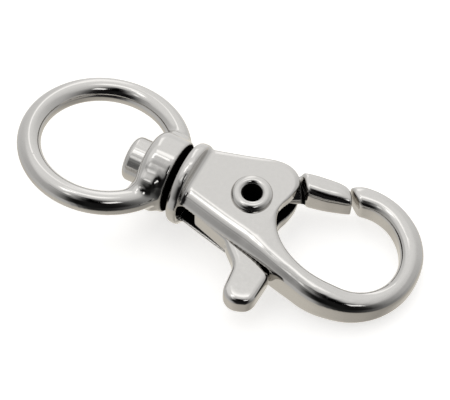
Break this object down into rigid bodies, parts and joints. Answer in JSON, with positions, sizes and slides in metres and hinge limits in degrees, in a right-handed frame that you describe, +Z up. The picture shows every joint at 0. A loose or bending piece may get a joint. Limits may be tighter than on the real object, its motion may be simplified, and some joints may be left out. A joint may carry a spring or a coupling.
{
  "type": "swivel snap hook",
  "caption": "Swivel snap hook: a round eye turns on a headed stud, and a thumb lever opens a sprung gate that closes the hook's bow.",
  "frame": {"origin": "centre of the round eye's ring", "axes": "+X along the swivel axis's plan direction, from the eye to the bow; +Y toward the gate side, away from the thumb lever; +Z up from the surface that the part lies on. The swivel axis dips by 6.955 degrees toward the bow."},
  "size_m": [0.067, 0.03, 0.0134],
  "materials": {
    "nickel_casting": "bright nickel plate over a zinc casting",
    "nickel_steel": "bright nickel plate over steel",
    "spring_steel": "drawn spring wire"
  },
  "bodies": {
    "hook": {"hook_body": "nickel_casting", "swivel_stud": "nickel_steel", "pivot_rivet": "nickel_steel", "trigger_spring": "spring_steel"},
    "eye": {"swivel_eye": "nickel_casting"},
    "trigger": {"trigger": "nickel_casting"}
  },
  "joints": [
    {"name": "eye_swivel", "type": "hinge", "parent": "hook", "child": "eye", "pos_m": [0, 0, 0], "axis": [0.9926, 0, -0.1211], "continuous": true},
    {"name": "trigger_pivot", "type": "hinge", "parent": "hook", "child": "trigger", "pos_m": [0.02521, 0.0005, -0.00308], "axis": [-0.1211, 0, -0.9926], "range_deg": [0, 42], "stiffness_Nm_per_rad": 0.03, "springref_deg": -34.38, "deforming": ["trigger_spring"]}
  ]
}
